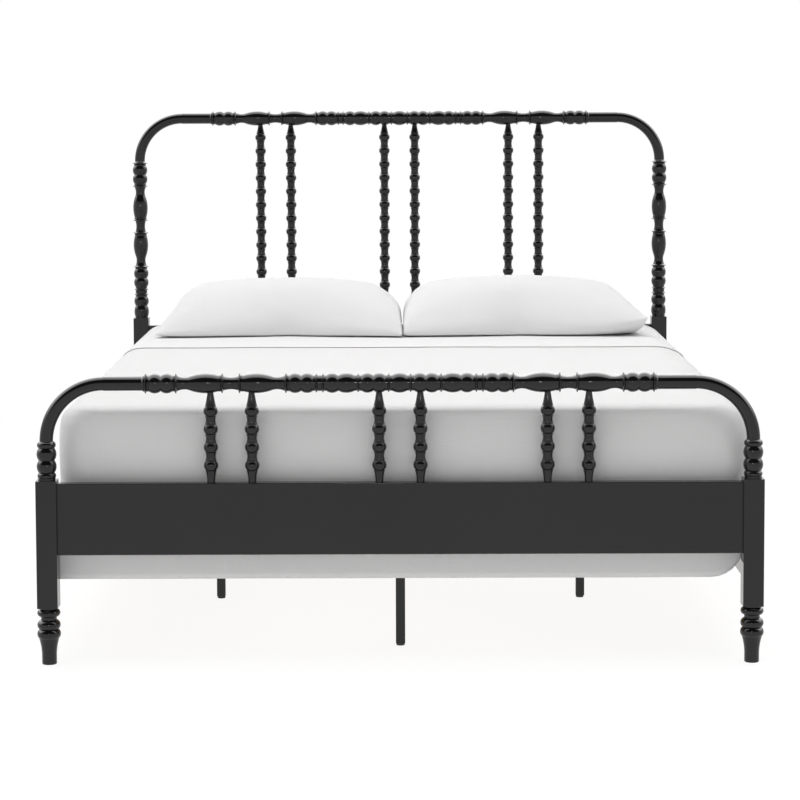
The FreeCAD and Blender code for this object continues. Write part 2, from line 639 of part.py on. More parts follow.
def cleat():
    bar = box(CLEAT_INNER, RAIL_INNER, -CLEAT_HALF, CLEAT_HALF, CLEAT_BOTTOM, SLAT_BOTTOM)
    return bar.cut(group(cleat_screws(FIT) + slat_screws(FIT)))


def slat(y, leg_xs=()):
    body = box(-SLAT_HALF, SLAT_HALF, y - SLAT_WIDTH / 2, y + SLAT_WIDTH / 2, SLAT_BOTTOM, SLAT_TOP)
    body = rounded_along(body, X_AXIS, SLAT_EDGE)
    screws = [s for s in slat_screws(FIT) if abs(s.BoundBox.Center.y - y) < SLAT_WIDTH / 2]
    holes = screws + [across_x(s) for s in screws]
    holes += [placed(bolt(FIT), V(x, y, SLAT_TOP), V(0, 0, -1)) for x in leg_xs]
    return body.cut(group(holes))


def support_leg(x, y):
    half = LEG_WIDTH / 2
    leg = box(x - half, x + half, y - half, y + half, GLIDE_PAD_HEIGHT, SLAT_BOTTOM)
    leg = rounded_along(leg, Z_AXIS, POST_EDGE)
    bolt_hole = placed(bolt(FIT), V(x, y, SLAT_TOP), V(0, 0, -1))
    bush_hole = Part.makeCylinder(BUSH_RADIUS + FIT, BUSH_LENGTH + FIT, V(x, y, GLIDE_PAD_HEIGHT))
    stem_hole = Part.makeCylinder(GLIDE_STEM_RADIUS + STEM_ROOM, GLIDE_STEM_LENGTH + STEM_ROOM_ABOVE,
                                  V(x, y, GLIDE_PAD_HEIGHT))
    return leg.cut(group([bolt_hole, bush_hole, stem_hole]))


def glide_bush(x, y):
    tube = Part.makeCylinder(BUSH_RADIUS, BUSH_LENGTH, V(x, y, GLIDE_PAD_HEIGHT))
    return tube.cut(Part.makeCylinder(GLIDE_STEM_RADIUS + RUN, BUSH_LENGTH, V(x, y, GLIDE_PAD_HEIGHT)))


def glide(x, y):
    """A round pad on a stem. It stands on the floor and its stem runs in the leg's bush."""
    pad = Part.makeCylinder(GLIDE_PAD_RADIUS, GLIDE_PAD_HEIGHT)
    rim = [e for e in pad.Edges if e.BoundBox.ZMax < FLAT]
    pad = pad.makeFillet(GLIDE_PAD_EDGE, rim)
    stem = Part.makeCylinder(GLIDE_STEM_RADIUS, GLIDE_PAD_HEIGHT + GLIDE_STEM_LENGTH)
    solid = pad.fuse(stem).removeSplitter()
    solid.translate(V(x, y, 0))
    return solid


# ---------------------------------------------------------------- bedding

def mattress_block(grow, bottom):
    """The mattress, or the room for it when it is grown by a gap."""
    half_w, half_l = MATTRESS_WIDTH / 2 + grow, MATTRESS_LENGTH / 2 + grow
    block = box(-half_w, half_w, -half_l, half_l, bottom, MATTRESS_TOP + grow)
    block = rounded_along(block, Z_AXIS, MATTRESS_CORNER)
    rims = [e for e in block.Edges if e.BoundBox.ZMin > MATTRESS_TOP - OVERCUT]
    if not grow:
        rims += [e for e in block.Edges if e.BoundBox.ZMax < bottom + OVERCUT]
    return block.makeFillet(MATTRESS_EDGE, rims)


def cover_section(grow):
    """The outer outline of the coverlet across the bed, grown outwards for what lies on it."""
    half = MATTRESS_WIDTH / 2
    tuck = RAIL_INNER - TUCK_CLEARANCE
    clear_of_rail = SIDE_RAIL_BOTTOM + BOARD_HEIGHT
    top = COVERLET_Z + grow
    edge = MATTRESS_EDGE + COVERLET_TOP

    def side(sign, bulge):
        return (
            V(sign * tuck, 0, TUCK_BOTTOM - OVERCUT),
            V(sign * tuck, 0, clear_of_rail),
            V(sign * (half + bulge + grow), 0, MATTRESS_TOP - BULGE_DROP),
            V(sign * (half + bulge * BULGE_KEPT + grow), 0, top - edge),
            V(sign * (half - SHOULDER_INSET + grow), 0, top - edge * (1 - SHOULDER_RISE)),
            V(sign * (half - edge), 0, top),
        )

    a, b, c, d, e, f = side(-1, BULGE_LEFT)
    u, v, w, x, y, z = side(1, BULGE_RIGHT)
    return Part.Face(Part.Wire([
        Part.makeLine(a, b), arc(b, c, d), arc(d, e, f), Part.makeLine(f, z),
        arc(z, y, x), arc(x, w, v), Part.makeLine(v, u), Part.makeLine(u, a),
    ]))


def cover_body(grow, y0, y1, bottom):
    section = cover_section(grow)
    section.translate(V(0, y0, 0))
    body = section.extrude(V(0, y1 - y0, 0))
    wide = MATTRESS_WIDTH
    return body.common(box(-wide, wide, y0, y1, bottom, COVERLET_Z + grow + OVERCUT))


COVER_FRONT_Y = -(MATTRESS_LENGTH / 2 + COVERLET_FRONT)
COVER_BACK_Y = MATTRESS_LENGTH / 2 + COVERLET_HEAD


def rounded_ends():
    """Keeps the coverlet inside rounded upright corners and a rounded top edge at the foot."""
    right = MATTRESS_WIDTH / 2 + BULGE_RIGHT + OVERCUT
    left = MATTRESS_WIDTH / 2 + BULGE_LEFT + OVERCUT
    plan = box(-left, right, COVER_FRONT_Y, COVER_BACK_Y, 0, COVERLET_Z + OVERCUT)
    corners = [e for e in edges_along(plan, Z_AXIS) if e.BoundBox.YMax < 0]
    plan = plan.makeFillet(COVERLET_CORNER, corners)
    side = box(-left, right, COVER_FRONT_Y, COVER_BACK_Y, 0, COVERLET_Z)
    fronts = [e for e in edges_along(side, X_AXIS) if e.BoundBox.ZMin > 0 and e.BoundBox.YMax < 0]
    return plan.common(side.makeFillet(COVERLET_EDGE, fronts))


def coverlet():
    """Over the whole mattress, tucked in at the sides, with a drop inside the foot panel."""
    body = cover_body(0, COVER_FRONT_Y, COVER_BACK_Y, TUCK_BOTTOM).common(rounded_ends())
    half = RAIL_INNER - DROP_SIDE_GAP
    drop = box(-half, half, COVER_FRONT_Y, COVER_FRONT_Y + DROP_THICKNESS,
               DROP_HEM, TUCK_BOTTOM + DROP_OVERLAP)
    hem_corner = [e for e in edges_along(drop, Y_AXIS)
                  if e.BoundBox.XMin > 0 and e.BoundBox.ZMax < DROP_HEM + OVERCUT]
    drop = drop.makeFillet(DROP_CORNER, hem_corner)
    return body.fuse(drop).cut(mattress_block(CLOTH_GAP, 0))


def turned_sheet():
    """The sheet turned down over the head end of the coverlet."""
    hem, bottom = MATTRESS_LENGTH / 2 - SHEET_TURNED, MATTRESS_TOP - SHEET_DROP
    outer = cover_body(SHEET_THICKNESS, hem, COVER_BACK_Y, bottom)
    return outer.cut(cover_body(CLOTH_GAP, hem - OVERCUT, COVER_BACK_Y + OVERCUT, bottom - OVERCUT))


def pillow_section(x, half_depth, height):
    """A lens with a flat bottom, rounded at its front and back seams."""
    under, over = half_depth - PILLOW_EDGE, half_depth - PILLOW_CROWN_INSET
    a, b = V(x, -under, 0), V(x, under, 0)
    c, d = V(x, over, PILLOW_CROWN_START), V(x, -over, PILLOW_CROWN_START)
    back = arc(b, V(x, half_depth, PILLOW_EDGE_HEIGHT), c)
    front = arc(d, V(x, -half_depth, PILLOW_EDGE_HEIGHT), a)
    return Part.Wire([Part.makeLine(a, b), back, arc(c, V(x, 0, height), d), front])


def pillow(centre_x):
    """Crowned in the middle, thin at its ends, with all four sides drawn in between its corners."""
    half_l, half_d = PILLOW_LENGTH / 2, PILLOW_DEPTH / 2
    sections = []
    for share in [-s for s in PILLOW_STATIONS[:0:-1]] + list(PILLOW_STATIONS):
        full = 1 - abs(share) ** PILLOW_CROWN_POWER
        height = PILLOW_END_HEIGHT + (PILLOW_HEIGHT - PILLOW_END_HEIGHT) * full
        depth = half_d - PILLOW_SIDE_DRAW * (1 - share ** 2)
        sections.append(pillow_section(half_l * share, depth, height))
    body = Part.makeLoft(sections, True, False)
    radius = (half_d ** 2 + PILLOW_END_DRAW ** 2) / (2 * PILLOW_END_DRAW)
    ends = [Part.makeCylinder(radius, 2 * PILLOW_HEIGHT,
                              V(side * (half_l - PILLOW_END_DRAW + radius), 0, -PILLOW_HEIGHT / 2))
            for side in (-1, 1)]
    body = body.cut(group(ends))
    y = MATTRESS_LENGTH / 2 - PILLOW_SETBACK - half_d
    body.translate(V(centre_x, y, SHEET_Z + CLOTH_GAP))
    return body


# ---------------------------------------------------------------- every piece, one file each

ENDS = (
    ("foot", FOOT_NECK, FOOT_BLOCK_TOP, FOOT_PANEL_BOTTOM, FOOT_RAIL_Z, FOOT_SPINDLE_TAPER),
    ("head", HEAD_NECK, HEAD_BLOCK_TOP, HEAD_PANEL_BOTTOM, HEAD_RAIL_Z, HEAD_SPINDLE_TAPER),
)
dowels = []
for end, neck, block_top, panel_bottom, rail_z, top_taper in ENDS:
    to_end = across_y if end == "head" else (lambda shape: shape)
    right_post = to_end(post(neck, block_top, panel_bottom))
    right_corner = to_end(corner_piece(-POST_Y, rail_z))
    save(f"{end}_post_right", right_post)
    save(f"{end}_post_left", across_x(right_post))
    save(f"{end}_corner_right", right_corner)
    save(f"{end}_corner_left", across_x(right_corner))
    save(f"{end}_top_rail", to_end(top_rail(-POST_Y, rail_z)))
    save(f"{end}_panel", to_end(panel(panel_bottom)))
    for number, x in enumerate(SPINDLE_XS, 1):
        piece = spindle(x, panel_bottom + BOARD_HEIGHT, rail_z, top_taper)
        save(f"{end}_spindle_{number}", to_end(piece))
    for dowel in corner_dowels(-POST_Y, rail_z):
        dowels += [to_end(dowel), across_x(to_end(dowel))]
save("corner_dowels", group(dowels))

right_rail = side_rail()
save("side_rail_right", right_rail)
save("side_rail_left", across_x(right_rail))
right_cleat = cleat()
save("cleat_right", right_cleat)
save("cleat_left", across_x(right_cleat))


def four_corners(shapes):
    right = shapes + [across_y(s) for s in shapes]
    return group(right + [across_x(s) for s in right])


save("post_slot_plates", four_corners([slotted_plate()]))
save("rail_hook_plates", four_corners([hooked_plate()]))
save("plate_screws", four_corners(plate_screws(True) + plate_screws(False)))
right_cleat_screws, right_slat_screws = cleat_screws(), slat_screws()
save("cleat_screws", group(right_cleat_screws + [across_x(s) for s in right_cleat_screws]))
save("slat_screws", group(right_slat_screws + [across_x(s) for s in right_slat_screws]))

save("plain_slats", group([slat(y) for y in plain_slat_ys()]))
bolts, bushes = [], []
leg_number = 0
for number, (y, leg_xs) in enumerate(zip(SUPPORT_YS, LEG_XS), 1):
    save(f"support_slat_{number}", slat(y, leg_xs))
    for x in leg_xs:
        leg_number += 1
        save(f"support_leg_{leg_number}", support_leg(x, y))
        save(f"glide_{leg_number}", glide(x, y))
        bushes.append(glide_bush(x, y))
        bolts.append(placed(bolt(), V(x, y, SLAT_TOP), V(0, 0, -1)))
save("leg_bolts", group(bolts))
save("glide_bushes", group(bushes))

save("mattress", mattress_block(0, SLAT_TOP))
save("coverlet", coverlet())
save("turned_sheet", turned_sheet())
pillow_pitch = PILLOW_LENGTH + PILLOW_GAP
save("pillow_left", pillow(PILLOW_PAIR_CENTRE - pillow_pitch / 2))
save("pillow_right", pillow(PILLOW_PAIR_CENTRE + pillow_pitch / 2))
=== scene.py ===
import math

import bmesh
import bpy
from mathutils import Matrix, Vector, noise


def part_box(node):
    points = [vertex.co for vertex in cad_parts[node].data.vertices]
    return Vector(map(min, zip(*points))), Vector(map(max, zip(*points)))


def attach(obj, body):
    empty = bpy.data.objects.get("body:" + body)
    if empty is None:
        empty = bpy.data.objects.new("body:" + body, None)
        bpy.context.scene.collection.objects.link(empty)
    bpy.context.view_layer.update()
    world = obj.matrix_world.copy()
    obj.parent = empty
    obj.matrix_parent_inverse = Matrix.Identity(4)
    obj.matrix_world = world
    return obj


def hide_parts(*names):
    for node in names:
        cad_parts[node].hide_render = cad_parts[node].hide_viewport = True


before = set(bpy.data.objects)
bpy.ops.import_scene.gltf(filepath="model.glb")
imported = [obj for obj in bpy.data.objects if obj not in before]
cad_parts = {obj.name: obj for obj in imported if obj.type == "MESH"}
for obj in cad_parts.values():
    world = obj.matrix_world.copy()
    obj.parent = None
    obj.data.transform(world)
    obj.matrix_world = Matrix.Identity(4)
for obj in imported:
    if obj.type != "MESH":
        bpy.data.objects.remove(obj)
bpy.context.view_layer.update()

# A black spindle bed, dressed. Metres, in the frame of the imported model: X across the bed, Y from foot to
# head, Z up, with the origin on the floor under the middle of the bed.

scene = bpy.context.scene


# ---------------------------------------------------------------- sizes taken from the frame

MATTRESS_LOW, MATTRESS_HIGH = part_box("mattress")
COVER_LOW, COVER_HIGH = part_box("coverlet")
SHEET_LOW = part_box("turned_sheet")[0]
RAIL_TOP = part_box("side_rail_left")[1].z
RAIL_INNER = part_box("side_rail_right")[0].x
PANEL_LOW, PANEL_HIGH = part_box("foot_panel")
SLAT_TOP = MATTRESS_LOW.z

MATTRESS_HALF = MATTRESS_HIGH.x
COVER_TOP = COVER_HIGH.z
COVER_FRONT = COVER_LOW.y
COVER_BACK = COVER_HIGH.y
BULGE_LEFT = -COVER_LOW.x - MATTRESS_HALF
BULGE_RIGHT = COVER_HIGH.x - MATTRESS_HALF

# ---------------------------------------------------------------- sizes of the bedding

CORNER = 0.070              # plan radius of the coverlet's upright corners at the foot
LOW_CORNER = 0.008          # the same inside the frame, where the cloth turns sharply into the drop
CORNER_TURNS = (RAIL_TOP + 0.0055, RAIL_TOP + 0.0605)       # heights where the one passes into the other
CORNER_PULL = 0.30          # how far from a corner the cloth is drawn towards it
INNER_HALF = MATTRESS_HALF - CORNER         # half the width of the coverlet's flat top
TOP_EDGE = 0.024            # radius of its top edge at the foot
TUCK_OFFSET = 0.021         # how far the tucked cloth stands from the mattress's side
TUCK_BOTTOM = SLAT_TOP + 0.012
HEM_END = RAIL_INNER - 0.004                # where the foot drop's hem ends at the right
HEM_SWEEP = 0.075           # radius in which it is swept up there
CLOTH = 0.0025              # thickness of the coverlet's cloth
CELL = 0.014                # spacing of a cloth's mesh
SHEET_LIFT = 0.0012         # how far the turned sheet stands over the coverlet, beyond its own thickness
SHEET_CLOTH = 0.0010        # thickness of the turned sheet's cloth
FOLD_WANDER = 0.0035        # how far the sheet's fold strays from a straight line


# ---------------------------------------------------------------- meshes

def mesh_object(name, points, faces, material, smooth=True):
    mesh = bpy.data.meshes.new(name)
    mesh.from_pydata([tuple(p) for p in points], [], faces)
    mesh.update()
    obj = bpy.data.objects.new(name, mesh)
    scene.collection.objects.link(obj)
    mesh.materials.append(material)
    if smooth:
        mesh.polygons.foreach_set("use_smooth", [True] * len(mesh.polygons))
    return obj


def welded(obj, distance=0.0002):
    """Merges points that coincide and turns the faces outwards or upwards."""
    work = bmesh.new()
    work.from_mesh(obj.data)
    bmesh.ops.remove_doubles(work, verts=work.verts, dist=distance)
    bmesh.ops.dissolve_degenerate(work, edges=work.edges, dist=distance / 2)
    bmesh.ops.recalc_face_normals(work, faces=work.faces)
    work.to_mesh(obj.data)
    work.free()


def applied(obj, kind, name, **settings):
    """Adds a modifier with these settings and applies it."""
    modifier = obj.modifiers.new(name, kind)
    for key, value in settings.items():
        setattr(modifier, key, value)
    graph = bpy.context.evaluated_depsgraph_get()
    mesh = bpy.data.meshes.new_from_object(obj.evaluated_get(graph))
    obj.modifiers.clear()
    old, obj.data = obj.data, mesh
    bpy.data.meshes.remove(old)
    return obj


def quads(rows, columns, closed=False):
    """Faces between rows of points, each as long as columns."""
    faces = []
    last = columns if closed else columns - 1
    for r in range(rows - 1):
        for c in range(last):
            d = (c + 1) % columns
            faces.append((r * columns + c, r * columns + d, (r + 1) * columns + d, (r + 1) * columns + c))
    return faces


def spread(a, b, spacing):
    """Evenly spaced numbers from a to b, about spacing apart."""
    count = max(1, round(abs(b - a) / spacing))
    return [a + (b - a) * i / count for i in range(count + 1)]


def smooth_line(points, count):
    """A smooth line through points (Catmull-Rom), as count + 1 evenly spaced points."""
    points = [Vector(p) for p in points]
    ends = [2 * points[0] - points[1]] + points + [2 * points[-1] - points[-2]]
    fine = []
    for p, q, r, s in zip(ends, ends[1:], ends[2:], ends[3:]):
        for i in range(24):
            t = i / 24
            fine.append(0.5 * (2 * q + (r - p) * t + (2 * p - 5 * q + 4 * r - s) * t ** 2
                               + (3 * q - p - 3 * r + s) * t ** 3))
    fine.append(points[-1])
    lengths = [0.0]
    for a, b in zip(fine, fine[1:]):
        lengths.append(lengths[-1] + (b - a).length)
    line, j = [], 0
    for i in range(count + 1):
        want = lengths[-1] * i / count
        while j < len(fine) - 2 and lengths[j + 1] < want:
            j += 1
        share = (want - lengths[j]) / max(lengths[j + 1] - lengths[j], 1e-9)
        line.append(fine[j].lerp(fine[j + 1], min(1.0, share)))
    return line


def eased(t):
    """Goes softly from 0 to 1 while t does, and stays there."""
    t = min(1.0, max(0.0, t))
    return t * t * (3 - 2 * t)


def ripple(point, size, seed=0.0):
    """Smooth noise from -1 to 1 with features of about size, which may differ along each axis."""
    x, y, z = size
    return noise.noise(Vector((point.x / x + seed, point.y / y - seed, point.z / z + 2 * seed)))


# ---------------------------------------------------------------- materials

class NodeTree:
    """The shader nodes of a material or of the world, and short ways to add to them."""

    def __init__(self, owner):
        owner.use_nodes = True
        self.nodes = owner.node_tree.nodes
        self.links = owner.node_tree.links

    def new(self, kind, **values):
        node = self.nodes.new(kind)
        for key, value in values.items():
            node.inputs[key.replace("_", " ")].default_value = value
        return node

    def link(self, source, target):
        self.links.new(source, target)

    def maths(self, operation, a, b):
        node = self.new("ShaderNodeMath")
        node.operation = operation
        self.link(a, node.inputs[0])
        self.link(b, node.inputs[1])
        return node.outputs["Value"]

    def ranged(self, source, start, end, low, high):
        """A number that goes softly from low to high while source goes from start to end."""
        node = self.new("ShaderNodeMapRange", From_Min=start, From_Max=end, To_Min=low, To_Max=high)
        node.interpolation_type = "SMOOTHSTEP"
        self.link(source, node.inputs["Value"])
        return node.outputs["Result"]

    def added(self, first, second):
        node = self.new("ShaderNodeAddShader")
        self.link(first.outputs[0], node.inputs[0])
        self.link(second.outputs[0], node.inputs[1])
        return node

    def mixed(self, factor, first, second):
        node = self.new("ShaderNodeMixShader")
        self.link(factor, node.inputs["Fac"])
        self.link(first.outputs[0], node.inputs[1])
        self.link(second.outputs[0], node.inputs[2])
        return node


class Finish(NodeTree):
    """A material with its Principled shader, and short ways to add textures to it."""

    def __init__(self, name, **sockets):
        self.material = bpy.data.materials.new(name)
        super().__init__(self.material)
        self.shader = self.nodes["Principled BSDF"]
        for key, value in sockets.items():
            self.shader.inputs[key.replace("_", " ")].default_value = value
        self.place = self.new("ShaderNodeTexCoord").outputs["Object"]

    def noise(self, scale, detail=2.0, stretch=(1, 1, 1), distortion=0.0):
        """Noise on the object's own coordinates, scaled along each axis by stretch."""
        stretched = self.new("ShaderNodeMapping", Scale=stretch)
        self.link(self.place, stretched.inputs["Vector"])
        node = self.new("ShaderNodeTexNoise", Scale=scale, Detail=detail, Distortion=distortion)
        self.link(stretched.outputs["Vector"], node.inputs["Vector"])
        return node.outputs["Fac"]

    def wave(self, scale, direction, distortion=0.0):
        node = self.new("ShaderNodeTexWave", Scale=scale, Distortion=distortion)
        node.bands_direction = direction
        self.link(self.place, node.inputs["Vector"])
        return node.outputs["Fac"]

    def between(self, factor, low, high):
        """A number that goes from low to high with factor."""
        node = self.new("ShaderNodeMapRange", To_Min=low, To_Max=high)
        self.link(factor, node.inputs["Value"])
        return node.outputs["Result"]

    def colours(self, factor, *stops):
        """A colour from stops of (place, colour)."""
        node = self.new("ShaderNodeValToRGB")
        ramp = node.color_ramp.elements
        while len(ramp) < len(stops):
            ramp.new(0.5)
        for element, (place, colour) in zip(ramp, stops):
            element.position = place
            element.color = (*colour, 1)
        self.link(factor, node.inputs["Fac"])
        return node.outputs["Color"]

    def bump(self, height, strength, distance, under=None):
        node = self.new("ShaderNodeBump", Strength=strength, Distance=distance)
        self.link(height, node.inputs["Height"])
        if under is not None:
            self.link(under, node.inputs["Normal"])
        return node.outputs["Normal"]

    def set(self, socket, source):
        self.link(source, self.shader.inputs[socket])


GRAIN_ALONG = {"x": (0.05, 1, 1), "y": (1, 0.05, 1), "z": (1, 1, 0.05)}


def painted_wood(along):
    """Black satin paint over wood whose grain runs along one axis."""
    f = Finish(f"black_paint_{along}", Specular_IOR_Level=0.42)
    cloud = f.noise(5.0, 4.0)
    f.set("Base Color", f.colours(cloud, (0.3, (0.0030, 0.0030, 0.0036)), (0.7, (0.0052, 0.0051, 0.0060))))
    f.set("Roughness", f.between(f.noise(70.0, 3.0), 0.08, 0.14))
    grain = f.bump(f.noise(260.0, 3.0, GRAIN_ALONG[along]), 0.10, 0.0006)
    f.set("Normal", f.bump(f.noise(900.0, 1.0), 0.06, 0.0004, grain))
    return f.material


def bare_wood(along):
    """Pale softwood for the slats and cleats."""
    f = Finish(f"slat_wood_{along}", Roughness=0.62)
    rings = f.noise(38.0, 5.0, GRAIN_ALONG[along], 0.6)
    f.set("Base Color", f.colours(rings, (0.25, (0.50, 0.33, 0.17)), (0.5, (0.66, 0.49, 0.29)),
                                  (0.8, (0.74, 0.58, 0.38))))
    f.set("Normal", f.bump(f.noise(420.0, 2.0, GRAIN_ALONG[along]), 0.25, 0.0006))
    return f.material


def zinc_steel():
    f = Finish("zinc_steel", Metallic=1.0)
    f.set("Base Color", f.colours(f.noise(140.0, 3.0), (0.3, (0.46, 0.47, 0.50)), (0.7, (0.62, 0.62, 0.62))))
    f.set("Roughness", f.between(f.noise(500.0, 2.0, (1, 1, 0.1)), 0.28, 0.46))
    return f.material


def glide_plastic():
    f = Finish("glide_plastic")
    f.set("Base Color", f.colours(f.noise(90.0), (0.3, (0.014, 0.014, 0.014)), (0.7, (0.022, 0.022, 0.022))))
    f.set("Roughness", f.between(f.noise(400.0), 0.42, 0.58))
    return f.material


def woven(name, colour, shade, yarn, slub, depth, sheen):
    """Plain-weave cloth: crossed yarns about yarn metres apart, with uneven slubs along both ways."""
    f = Finish(name, Roughness=0.92, Specular_IOR_Level=0.2, Sheen_Weight=sheen, Sheen_Roughness=0.55)
    pitch = 0.31 / yarn
    warp = f.maths("ADD", f.wave(pitch, "X", 0.6), f.wave(pitch, "Y", 0.6))
    weave = f.maths("ADD", warp, f.wave(pitch, "Z", 0.6))
    slubs = f.maths("ADD", f.noise(260.0, 3.0, (0.06, 1, 1)), f.noise(260.0, 3.0, (1, 0.06, 0.3)))
    slubs = f.maths("ADD", slubs, f.noise(260.0, 3.0, (1, 1, 0.06)))
    tone = f.between(slubs, 0.0, slub)
    cloud = f.maths("ADD", tone, f.between(f.noise(3.0, 3.0), 0.0, 0.35))
    f.set("Base Color", f.colours(cloud, (0.0, shade), (0.75, colour)))
    coarse = f.bump(slubs, 0.35, depth)
    f.set("Normal", f.bump(weave, 0.45, depth * 0.6, coarse))
    return f.material


def ticking():
    """The mattress's cover: close cloth with a quilted relief."""
    f = Finish("mattress_ticking", Roughness=0.9, Specular_IOR_Level=0.2, Sheen_Weight=0.1,
               Sheen_Roughness=0.6)
    stripes = f.wave(11.0, "X")
    f.set("Base Color", f.colours(stripes, (0.25, (0.70, 0.71, 0.73)), (0.5, (0.84, 0.84, 0.85))))
    quilt = f.maths("MULTIPLY", f.wave(3.1, "X"), f.wave(3.1, "Y"))
    f.set("Normal", f.bump(f.noise(600.0, 2.0), 0.2, 0.0005, f.bump(quilt, 0.5, 0.006)))
    return f.material


PAINT = {axis: painted_wood(axis) for axis in "xyz"}
WOOD = {axis: bare_wood(axis) for axis in "xy"}
STEEL, PLASTIC, TICKING = zinc_steel(), glide_plastic(), ticking()
LINEN = woven("coverlet_linen", (0.872, 0.868, 0.868), (0.835, 0.825, 0.820), 0.0012, 0.30, 0.0012, 0.10)
COTTON = woven("sheet_cotton", (0.885, 0.882, 0.885), (0.860, 0.855, 0.852), 0.0007, 0.30, 0.0006, 0.10)
PILLOWCASE = woven("pillow_cotton", (0.905, 0.902, 0.905), (0.885, 0.880, 0.878), 0.0007, 0.30, 0.0006, 0.12)


def finish_for(node):
    if node in ("plain_slats", "corner_dowels") or node.startswith("support_slat"):
        return WOOD["x"]
    if node.startswith("cleat_") and node != "cleat_screws":
        return WOOD["y"]
    if node.startswith("glide_") and node != "glide_bushes":
        return PLASTIC
    if node.endswith(("screws", "bolts", "plates", "bushes")):
        return STEEL
    if "side_rail" in node:
        return PAINT["y"]
    if node.endswith(("top_rail", "panel")):
        return PAINT["x"]
    return PAINT["z"]


SOFT_NODES = ("mattress", "coverlet", "turned_sheet", "pillow_left", "pillow_right")
for name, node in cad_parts.items():
    if name not in SOFT_NODES:
        node.data.materials.clear()
        node.data.materials.append(finish_for(name))


# ---------------------------------------------------------------- mattress

MATTRESS_CORNER = 0.060             # plan radius of its upright corners
MATTRESS_EDGE = 0.022               # radius of its top and bottom edges
MATTRESS_INSET = 0.0015             # how far its border stays inside its box at the sides
MATTRESS_SLACK = 0.0005             # the same at the top and bottom
MATTRESS_BOW = 0.004                # how far the border is bowed out between its edges
PLAN_SPACING = 0.05                 # spacing of the mesh along its sides
PIPING = 0.005                      # radius of its piping
PIPING_OUT = 0.003                  # how far the piping stands out of the border


def rounded_plan(half_x, half_y, radius, spacing):
    """Points round a rectangle with rounded corners, anticlockwise, with their outward directions."""
    points = []
    for corner, start in (((1, 1), 0), ((-1, 1), 90), ((-1, -1), 180), ((1, -1), 270)):
        centre = Vector((corner[0] * (half_x - radius), corner[1] * (half_y - radius), 0))
        for step in range(11):
            angle = math.radians(start + 9 * step)
            out = Vector((math.cos(angle), math.sin(angle), 0))
            points.append((centre + out * radius, out))
    filled = []
    for (a, out_a), (b, out_b) in zip(points, points[1:] + points[:1]):
        steps = max(1, round((b - a).length / spacing))
        filled += [(a.lerp(b, i / steps), out_a.lerp(out_b, i / steps).normalized()) for i in range(steps)]
    return filled


def build_piping(name, plan, height):
    """A round cord that follows the mattress's outline at this height."""
    ring, turns = [], 8
    for point, out in plan:
        centre = point - out * (PIPING - PIPING_OUT) + Vector((0, 0, height))
        for k in range(turns):
            a = 2 * math.pi * k / turns
            ring.append(centre + out * PIPING * math.cos(a) + Vector((0, 0, PIPING * math.sin(a))))
    faces = []
    for i in range(len(plan)):
        j = (i + 1) % len(plan)
        for k in range(turns):
            m = (k + 1) % turns
            faces.append((i * turns + k, j * turns + k, j * turns + m, i * turns + m))
    return mesh_object(name, ring, faces, COTTON)


def build_mattress():
    """A foam and spring core in a quilted cover: bowed border, flat panels, piping at both edges."""
    plan = rounded_plan(MATTRESS_HALF - MATTRESS_INSET, MATTRESS_HIGH.y - MATTRESS_INSET, MATTRESS_CORNER,
                        PLAN_SPACING)
    bottom, top = MATTRESS_LOW.z + MATTRESS_SLACK, MATTRESS_HIGH.z - MATTRESS_SLACK
    lower_edge, side = [], []
    for degrees in range(0, 91, 15):
        a = math.radians(degrees)
        lower_edge.append((MATTRESS_EDGE * (1 - math.sin(a)), bottom + MATTRESS_EDGE * (1 - math.cos(a))))
    for share in (0.2, 0.4, 0.5, 0.6, 0.8):
        bow = MATTRESS_BOW * (1 - (2 * share - 1) ** 2)
        side.append((MATTRESS_BOW - bow, bottom + MATTRESS_EDGE + share * (top - bottom - 2 * MATTRESS_EDGE)))
    upper_edge = [(inward, top + bottom - z) for inward, z in lower_edge[::-1]]
    panel = MATTRESS_HALF * 0.35
    section = [(panel, bottom)] + lower_edge + side + upper_edge + [(panel, top)]
    points = [point - out * inward + Vector((0, 0, z)) for inward, z in section for point, out in plan]
    count = len(plan)
    faces = quads(len(section), count, closed=True)
    faces.append(list(range(count))[::-1])
    faces.append([(len(section) - 1) * count + i for i in range(count)])
    body = mesh_object("mattress_body", points, faces, TICKING)
    welded(body)
    cords = [build_piping("mattress_piping_bottom", plan, bottom + MATTRESS_EDGE),
             build_piping("mattress_piping_top", plan, top - MATTRESS_EDGE)]
    return body, cords


mattress, mattress_piping = build_mattress()
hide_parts("mattress")
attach(mattress, "bedding")
for piping in mattress_piping:
    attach(piping, "bedding")


# ---------------------------------------------------------------- coverlet and turned sheet

PROFILE_STEPS = 34
BULGE_Z = MATTRESS_HIGH.z - 0.090           # where the cover stands out most at the sides
SHOULDER_Z = COVER_TOP - 0.033              # and where its rounded top edge ends


def side_profile(bulge):
    """From the flat top over the side and down into the tuck: how far outside the mattress, and how high."""
    return smooth_line([
        (-CORNER, COVER_TOP, 0), (-0.040, COVER_TOP - 0.0003, 0), (-0.014, COVER_TOP - 0.0035, 0),
        (bulge * 0.45, COVER_TOP - 0.017, 0), (bulge * 0.86, SHOULDER_Z - 0.010, 0), (bulge, BULGE_Z, 0),
        (0.55 * bulge + 0.45 * TUCK_OFFSET, (BULGE_Z + RAIL_TOP) / 2, 0),
        (TUCK_OFFSET, RAIL_TOP + 0.005, 0), (TUCK_OFFSET, TUCK_BOTTOM, 0),
    ], PROFILE_STEPS)


